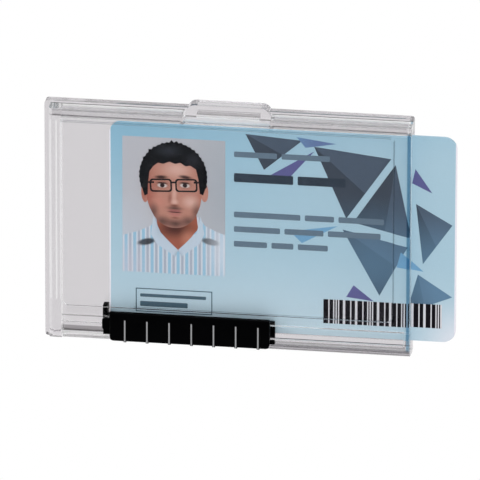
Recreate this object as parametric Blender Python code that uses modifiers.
"""Clear rigid holder for one identity card, with a black thumb slide that pushes the card out.

The holder stands upright with its front towards -Y and its open end towards +X. The world's origin
is the centre of the strap slot, where the holder hangs. The pieces are placed in the holder's corner
frame, whose zero is the rear shell's left edge, the front shell's front face and the rear shell's
bottom edge, and are shifted to the origin by DATUM.
"""

import math

import bmesh
import bpy
from mathutils import Matrix, Vector

MM = 0.001

# Clearances
SEAT_GAP = 0.3 * MM  # between pieces that rest on, slide on or are joined to each other
CARD_HEADROOM = 0.8 * MM  # above the card, under the pocket's ceiling
CARD_BACK_PLAY = 0.84 * MM  # behind the card, before the rear shell
STOP_GAP = 0.3 * MM  # left between the slide and the slot's ends at the limits of its travel

# The card, of the standard identity format
CARD_LENGTH = 85.60 * MM
CARD_HEIGHT = 53.98 * MM
CARD_THICKNESS = 0.76 * MM
CARD_CORNER = 3.18 * MM
CARD_OVERHANG = 1.2 * MM  # the card's end beyond the open end when the slide is home

# Front shell
FRONT_PLATE = 1.5 * MM
BOTTOM_WALL = 0.9 * MM
LEFT_WALL = 2.9 * MM
TOP_WALL = 2.6 * MM
LEFT_ROUND = 2.0 * MM
BOTTOM_ROUND = 2.0 * MM
TOP_ROUND = 0.8 * MM
RIGHT_ROUND = 0.3 * MM

# Slot in the front plate, which the slide runs in
SLOT_LIP = 2.9 * MM  # height of the front plate left under the slot
SLOT_HEIGHT = 3.5 * MM
SLOT_SETBACK = 0.3 * MM  # from the pocket's left wall
SLOT_END_WALL = 1.6 * MM
LIP_START = 18.0 * MM  # from the pocket's left wall to the lip, which is left off before it

# Step round the card window in the front face
WINDOW_DEPTH = 0.4 * MM
WINDOW_LEFT = 0.4 * MM  # from the pocket's left wall
WINDOW_RIGHT = 4.4 * MM  # from the open end
WINDOW_ABOVE_SLOT = 2.7 * MM
WINDOW_BELOW_CEILING = 0.8 * MM
WINDOW_CORNER = 1.5 * MM

# Rear shell, whose edge stands out round the front shell
PLATE_THICKNESS = 2.4 * MM
EDGE_LEFT = 1.6 * MM
EDGE_TOP = 0.3 * MM
EDGE_BOTTOM = 1.1 * MM
PLATE_CORNER = 0.8 * MM
LEDGE_HEIGHT = 2.0 * MM
RECESS_DEPTH = 1.0 * MM
RECESS_MARGIN = 1.5 * MM
RECESS_CORNER = 1.5 * MM

# Strap tab and its slot
TAB_WIDTH = 20.9 * MM
TAB_DEPTH = 3.9 * MM
TAB_CORNER = 2.4 * MM
STRAP_WIDTH = 15.5 * MM
STRAP_HEIGHT = 1.0 * MM
BAR_HEIGHT = 2.4 * MM
STRAP_FLOOR = 0.8 * MM  # wall between the pocket's ceiling and the strap slot

# Slide: the carriage behind the front plate and the thumb grip in front of it
SLIDE_SHOWN = 9.7 * MM  # how far the slide stands from its home
RUNNER_THICKNESS = 0.9 * MM
RUNNER_HEIGHT = 5.8 * MM
RUNNER_OVERRUN = 0.9 * MM  # the runner's end beyond the web
NUB_LENGTH = 1.2 * MM
NUB_OVERLAP = 5.4 * MM  # how much of the card's edge the nub covers
GRIP_LENGTH = 39.7 * MM
GRIP_SETBACK = 2.0 * MM  # from the carriage's left end
GRIP_BELOW_SLOT = 2.2 * MM
GRIP_ABOVE_SLOT = 1.9 * MM
GRIP_THICKNESS = 0.9 * MM
GRIP_CORNER = 1.4 * MM
GRIP_EDGE = 0.3 * MM
RIB_PITCH = 5.5 * MM
RIB_MARGIN = 2.8 * MM  # least distance from the first and last rib to the grip's ends
RIB_SHIFT = 0.5 * MM  # the ribs' middle right of the grip's
RIB_WIDTH = 0.7 * MM
RIB_PROUD = 0.3 * MM
RIB_TOP_DROP = 1.7 * MM
RIB_OVERHANG = 0.15 * MM
PEG_RADIUS = 0.8 * MM
PEG_DEPTH = 1.3 * MM
PEG_INSET = 8.0 * MM  # from the grip's ends

OVERCUT = 1.0 * MM  # how far a cutter runs past the face it opens
SINK = 0.5 * MM  # how far a joined solid reaches into the one that carries it

# Depths from the front face back
RUNNER_FRONT = FRONT_PLATE + SEAT_GAP
RUNNER_BACK = RUNNER_FRONT + RUNNER_THICKNESS
CARD_FRONT = RUNNER_BACK + SEAT_GAP
CARD_BACK = CARD_FRONT + CARD_THICKNESS
PLATE_FRONT = CARD_BACK + CARD_BACK_PLAY
PLATE_BACK = PLATE_FRONT + PLATE_THICKNESS
SHELL_BACK = PLATE_FRONT - SEAT_GAP
TAB_FRONT = PLATE_BACK - TAB_DEPTH

# Heights from the rear shell's bottom edge up
SHELL_BOTTOM = EDGE_BOTTOM
POCKET_BOTTOM = SHELL_BOTTOM + BOTTOM_WALL
RUNNER_BOTTOM = POCKET_BOTTOM + SEAT_GAP
LEDGE_BOTTOM = POCKET_BOTTOM + SEAT_GAP
LEDGE_TOP = LEDGE_BOTTOM + LEDGE_HEIGHT
CARD_BOTTOM = LEDGE_TOP + SEAT_GAP
CARD_TOP = CARD_BOTTOM + CARD_HEIGHT
POCKET_TOP = CARD_TOP + CARD_HEADROOM
SHELL_TOP = POCKET_TOP + TOP_WALL
PLATE_TOP = SHELL_TOP + EDGE_TOP
SLOT_BOTTOM = SHELL_BOTTOM + SLOT_LIP
SLOT_TOP = SLOT_BOTTOM + SLOT_HEIGHT
STRAP_BOTTOM = POCKET_TOP + STRAP_FLOOR
STRAP_TOP = STRAP_BOTTOM + STRAP_HEIGHT
TAB_TOP = STRAP_TOP + BAR_HEIGHT

# Lengths from the rear shell's left edge to the right
SHELL_LEFT = EDGE_LEFT
POCKET_LEFT = SHELL_LEFT + LEFT_WALL
SLOT_LEFT = POCKET_LEFT + SLOT_SETBACK
CARRIAGE_HOME = SLOT_LEFT + STOP_GAP
CARD_HOME = CARRIAGE_HOME + NUB_LENGTH + SEAT_GAP
SHELL_RIGHT = CARD_HOME + CARD_LENGTH - CARD_OVERHANG
SLOT_RIGHT = SHELL_RIGHT - SLOT_END_WALL
CARRIAGE_LEFT = CARRIAGE_HOME + SLIDE_SHOWN
NUB_RIGHT = CARRIAGE_LEFT + NUB_LENGTH
CARD_LEFT = NUB_RIGHT + SEAT_GAP
GRIP_LEFT = CARRIAGE_LEFT + GRIP_SETBACK
GRIP_RIGHT = GRIP_LEFT + GRIP_LENGTH
TAB_CENTRE = SHELL_RIGHT / 2
WEB_MIDDLE = (SLOT_BOTTOM + SLOT_TOP) / 2

# The strap slot's centre in the corner frame
DATUM = Vector((TAB_CENTRE, (TAB_FRONT + PLATE_BACK) / 2, (STRAP_BOTTOM + STRAP_TOP) / 2))

# The box edges that each kind of rounding takes, as the two faces that meet there
UPRIGHT_CORNERS = (("-x", "-z"), ("+x", "-z"), ("-x", "+z"), ("+x", "+z"))
FRONT_EDGES = (("-x", "-y"), ("+x", "-y"), ("-y", "-z"), ("-y", "+z"))


def remove_all_objects():
    """Empty the scene."""
    for thing in list(bpy.data.objects):
        bpy.data.objects.remove(thing, do_unlink=True)


def new_collection(name):
    """Make a collection under the scene's own."""
    collection = bpy.data.collections.new(name)
    bpy.context.scene.collection.children.link(collection)
    return collection


def principled(name, colour, roughness, alpha=1.0):
    """Make a plastic material from its colour, roughness and alpha."""
    material = bpy.data.materials.new(name)
    material.use_nodes = True
    shader = material.node_tree.nodes["Principled BSDF"]
    shader.inputs["Base Color"].default_value = (*colour, 1.0)
    shader.inputs["Roughness"].default_value = roughness
    shader.inputs["Metallic"].default_value = 0.0
    shader.inputs["Alpha"].default_value = alpha
    return material


def new_piece(name, shape, location, collection):
    """Turn a bmesh into an object at a place in the world."""
    mesh = bpy.data.meshes.new(name)
    shape.to_mesh(mesh)
    shape.free()
    piece = bpy.data.objects.new(name, mesh)
    piece.location = location
    collection.objects.link(piece)
    return piece


def box(name, low, high, collection):
    """Make a box between two corners of the corner frame."""
    low = Vector(low) - DATUM
    high = Vector(high) - DATUM
    shape = bmesh.new()
    bmesh.ops.create_cube(shape, size=1.0)
    bmesh.ops.scale(shape, vec=high - low, verts=shape.verts)
    return new_piece(name, shape, (low + high) / 2, collection)


def peg(name, front, back, radius, x, z, collection):
    """Make a round peg along Y at a place of the corner frame."""
    shape = bmesh.new()
    bmesh.ops.create_cone(
        shape,
        cap_ends=True,
        segments=24,
        radius1=radius,
        radius2=radius,
        depth=back - front,
        matrix=Matrix.Rotation(math.radians(90), 4, "X"),
    )
    return new_piece(name, shape, Vector((x, (front + back) / 2, z)) - DATUM, collection)


def round_edges(piece, radii, segments):
    """Round edges of a box that is centred on its origin, each pair of faces by its own radius."""
    widest = max(radii.values())
    wanted = {frozenset(pair): radius / widest for pair, radius in radii.items()}
    weights = piece.data.attributes.new("bevel_weight_edge", "FLOAT", "EDGE")
    for edge in piece.data.edges:
        start, end = (piece.data.vertices[index].co for index in edge.vertices)
        sides = frozenset(
            ("-" if start[axis] < 0 else "+") + "xyz"[axis]
            for axis in range(3)
            if start[axis] * end[axis] > 0
        )
        weights.data[edge.index].value = wanted.get(sides, 0.0)
    bevel = piece.modifiers.new("Rounded edges", "BEVEL")
    bevel.limit_method = "WEIGHT"
    bevel.width = widest
    bevel.segments = segments


def combine(piece, tool, operation):
    """Cut a tool out of a piece, or join it to the piece, with a Boolean modifier."""
    tool.hide_render = True
    tool.display_type = "WIRE"
    boolean = piece.modifiers.new(tool.name, "BOOLEAN")
    boolean.operation = operation
    boolean.solver = "EXACT"
    boolean.object = tool


def make_rear_shell(parts, tools):
    """Back plate with the strap tab at its top, the card's ledge and a recess in its back."""
    shell = box("rear_shell", (0, PLATE_FRONT, 0), (SHELL_RIGHT, PLATE_BACK, PLATE_TOP), parts)
    round_edges(shell, {pair: PLATE_CORNER for pair in UPRIGHT_CORNERS}, 4)

    ledge = box(
        "card ledge",
        (SLOT_LEFT, CARD_FRONT, LEDGE_BOTTOM),
        (SLOT_RIGHT, PLATE_FRONT + SINK, LEDGE_TOP),
        tools,
    )
    combine(shell, ledge, "UNION")

    tab = box(
        "strap tab",
        (TAB_CENTRE - TAB_WIDTH / 2, TAB_FRONT, STRAP_BOTTOM + SEAT_GAP),
        (TAB_CENTRE + TAB_WIDTH / 2, PLATE_BACK, TAB_TOP),
        tools,
    )
    round_edges(tab, {("-x", "+z"): TAB_CORNER, ("+x", "+z"): TAB_CORNER}, 5)
    combine(shell, tab, "UNION")

    strap_slot = box(
        "strap slot",
        (TAB_CENTRE - STRAP_WIDTH / 2, TAB_FRONT - OVERCUT, STRAP_BOTTOM),
        (TAB_CENTRE + STRAP_WIDTH / 2, PLATE_BACK + OVERCUT, STRAP_TOP),
        tools,
    )
    combine(shell, strap_slot, "DIFFERENCE")

    recess = box(
        "back recess",
        (RECESS_MARGIN, PLATE_BACK - RECESS_DEPTH, RECESS_MARGIN),
        (SHELL_RIGHT - RECESS_MARGIN, PLATE_BACK + OVERCUT, STRAP_BOTTOM - RECESS_MARGIN),
        tools,
    )
    round_edges(recess, {pair: RECESS_CORNER for pair in UPRIGHT_CORNERS}, 4)
    combine(shell, recess, "DIFFERENCE")
    return shell


def make_front_shell(parts, tools):
    """Front plate with its walls, open to the right, the slide's slot and the window's step."""
    shell = box(
        "front_shell", (SHELL_LEFT, 0, SHELL_BOTTOM), (SHELL_RIGHT, SHELL_BACK, SHELL_TOP), parts
    )
    front_radii = (LEFT_ROUND, RIGHT_ROUND, BOTTOM_ROUND, TOP_ROUND)
    round_edges(shell, dict(zip(FRONT_EDGES, front_radii)), 6)

    pocket = box(
        "pocket",
        (POCKET_LEFT, FRONT_PLATE, POCKET_BOTTOM),
        (SHELL_RIGHT + OVERCUT, SHELL_BACK + OVERCUT, POCKET_TOP),
        tools,
    )
    combine(shell, pocket, "DIFFERENCE")

    slot = box(
        "slide slot",
        (SLOT_LEFT, -OVERCUT, SLOT_BOTTOM),
        (SLOT_RIGHT, FRONT_PLATE + SINK, SLOT_TOP),
        tools,
    )
    combine(shell, slot, "DIFFERENCE")

    lip_opening = box(
        "lip opening",
        (SLOT_LEFT, -OVERCUT, SHELL_BOTTOM - OVERCUT),
        (POCKET_LEFT + LIP_START, FRONT_PLATE, SLOT_BOTTOM + SINK),
        tools,
    )
    combine(shell, lip_opening, "DIFFERENCE")

    window = box(
        "window step",
        (POCKET_LEFT + WINDOW_LEFT, -OVERCUT, SLOT_TOP + WINDOW_ABOVE_SLOT),
        (SHELL_RIGHT - WINDOW_RIGHT, WINDOW_DEPTH, POCKET_TOP - WINDOW_BELOW_CEILING),
        tools,
    )
    round_edges(window, {pair: WINDOW_CORNER for pair in UPRIGHT_CORNERS}, 5)
    combine(shell, window, "DIFFERENCE")

    half_notch = TAB_WIDTH / 2 + SEAT_GAP
    notch = box(
        "tab notch",
        (TAB_CENTRE - half_notch, -OVERCUT, STRAP_BOTTOM),
        (TAB_CENTRE + half_notch, SHELL_BACK + OVERCUT, SHELL_TOP + OVERCUT),
        tools,
    )
    combine(shell, notch, "DIFFERENCE")
    return shell


def peg_places():
    """Lengths at which the thumb grip is pegged to the carriage."""
    return (GRIP_LEFT + PEG_INSET, GRIP_RIGHT - PEG_INSET)


def make_carriage(parts, tools):
    """Runner behind the front plate, the web in the slot and the nub that pushes the card."""
    carriage = box(
        "slider_carriage",
        (CARRIAGE_LEFT, RUNNER_FRONT, RUNNER_BOTTOM),
        (GRIP_RIGHT + RUNNER_OVERRUN, RUNNER_BACK, RUNNER_BOTTOM + RUNNER_HEIGHT),
        parts,
    )

    web = box(
        "web",
        (CARRIAGE_LEFT, 0, SLOT_BOTTOM + SEAT_GAP),
        (GRIP_RIGHT, RUNNER_BACK - SINK, SLOT_TOP - SEAT_GAP),
        tools,
    )
    combine(carriage, web, "UNION")

    nub_bottom = LEDGE_TOP + SEAT_GAP
    nub = box(
        "nub",
        (CARRIAGE_LEFT, RUNNER_FRONT, nub_bottom),
        (NUB_RIGHT, PLATE_FRONT - SEAT_GAP, CARD_BOTTOM + NUB_OVERLAP),
        tools,
    )
    combine(carriage, nub, "UNION")

    for index, x in enumerate(peg_places()):
        socket = peg(
            f"peg socket {index + 1}",
            -OVERCUT,
            PEG_DEPTH + SEAT_GAP,
            PEG_RADIUS + SEAT_GAP,
            x,
            WEB_MIDDLE,
            tools,
        )
        combine(carriage, socket, "DIFFERENCE")
    return carriage


def rib_places():
    """Lengths of the grip's ribs, as many as its length holds, spaced about its middle."""
    count = int((GRIP_LENGTH - 2 * RIB_MARGIN) / RIB_PITCH) + 1
    middle = (GRIP_LEFT + GRIP_RIGHT) / 2 + RIB_SHIFT
    return [middle + (index - (count - 1) / 2) * RIB_PITCH for index in range(count)]


def make_grip(parts, tools):
    """Thumb pad in front of the slot, with upright ribs and two pegs into the carriage."""
    back = -SEAT_GAP
    front = back - GRIP_THICKNESS
    bottom = SLOT_BOTTOM - GRIP_BELOW_SLOT
    top = SLOT_TOP + GRIP_ABOVE_SLOT
    grip = box("thumb_grip", (GRIP_LEFT, front, bottom), (GRIP_RIGHT, back, top), parts)
    radii = {pair: GRIP_EDGE for pair in FRONT_EDGES + UPRIGHT_CORNERS}
    radii[("-x", "-z")] = GRIP_CORNER
    radii[("+x", "-z")] = GRIP_CORNER
    round_edges(grip, radii, 4)

    for index, x in enumerate(rib_places()):
        rib = box(
            f"rib {index + 1}",
            (x - RIB_WIDTH / 2, front - RIB_PROUD, bottom - RIB_OVERHANG),
            (x + RIB_WIDTH / 2, (front + back) / 2, top - RIB_TOP_DROP),
            tools,
        )
        combine(grip, rib, "UNION")

    for index, x in enumerate(peg_places()):
        pin = peg(f"peg {index + 1}", (front + back) / 2, PEG_DEPTH, PEG_RADIUS, x, WEB_MIDDLE, tools)
        combine(grip, pin, "UNION")
    return grip


def make_card(parts):
    """The identity card, with the standard's round corners."""
    card = box(
        "id_card",
        (CARD_LEFT, CARD_FRONT, CARD_BOTTOM),
        (CARD_LEFT + CARD_LENGTH, CARD_BACK, CARD_TOP),
        parts,
    )
    round_edges(card, {pair: CARD_CORNER for pair in UPRIGHT_CORNERS}, 8)
    return card


def carry(name, location, pieces, collection):
    """Parent pieces that move together to an empty on their joint."""
    carrier = bpy.data.objects.new(name, None)
    carrier.location = location
    collection.objects.link(carrier)
    for piece in pieces:
        piece.parent = carrier
        piece.location = piece.location - carrier.location
    return carrier


def main():
    remove_all_objects()
    parts = new_collection("badge_holder")
    tools = new_collection("cutters")

    rear_shell = make_rear_shell(parts, tools)
    front_shell = make_front_shell(parts, tools)
    carriage = make_carriage(parts, tools)
    grip = make_grip(parts, tools)
    card = make_card(parts)

    clear = principled("clear plastic", (0.80, 0.81, 0.81), 0.08, alpha=0.35)
    rear_shell.data.materials.append(clear)
    front_shell.data.materials.append(clear.copy())
    black = principled("black plastic", (0.012, 0.012, 0.013), 0.35)
    carriage.data.materials.append(black)
    grip.data.materials.append(black.copy())
    card.data.materials.append(principled("card print", (0.62, 0.72, 0.82), 0.4))

    web_start = Vector((CARRIAGE_LEFT, 0, WEB_MIDDLE)) - DATUM
    slide = carry("slide", web_start, [carriage, grip], parts)
    card_edge = Vector((CARD_LEFT, CARD_FRONT, CARD_BOTTOM)) - DATUM
    card_carrier = carry("card way", card_edge - slide.location, [], parts)
    card_carrier.parent = slide
    card.parent = card_carrier
    card.location = card.location - card_edge


main()
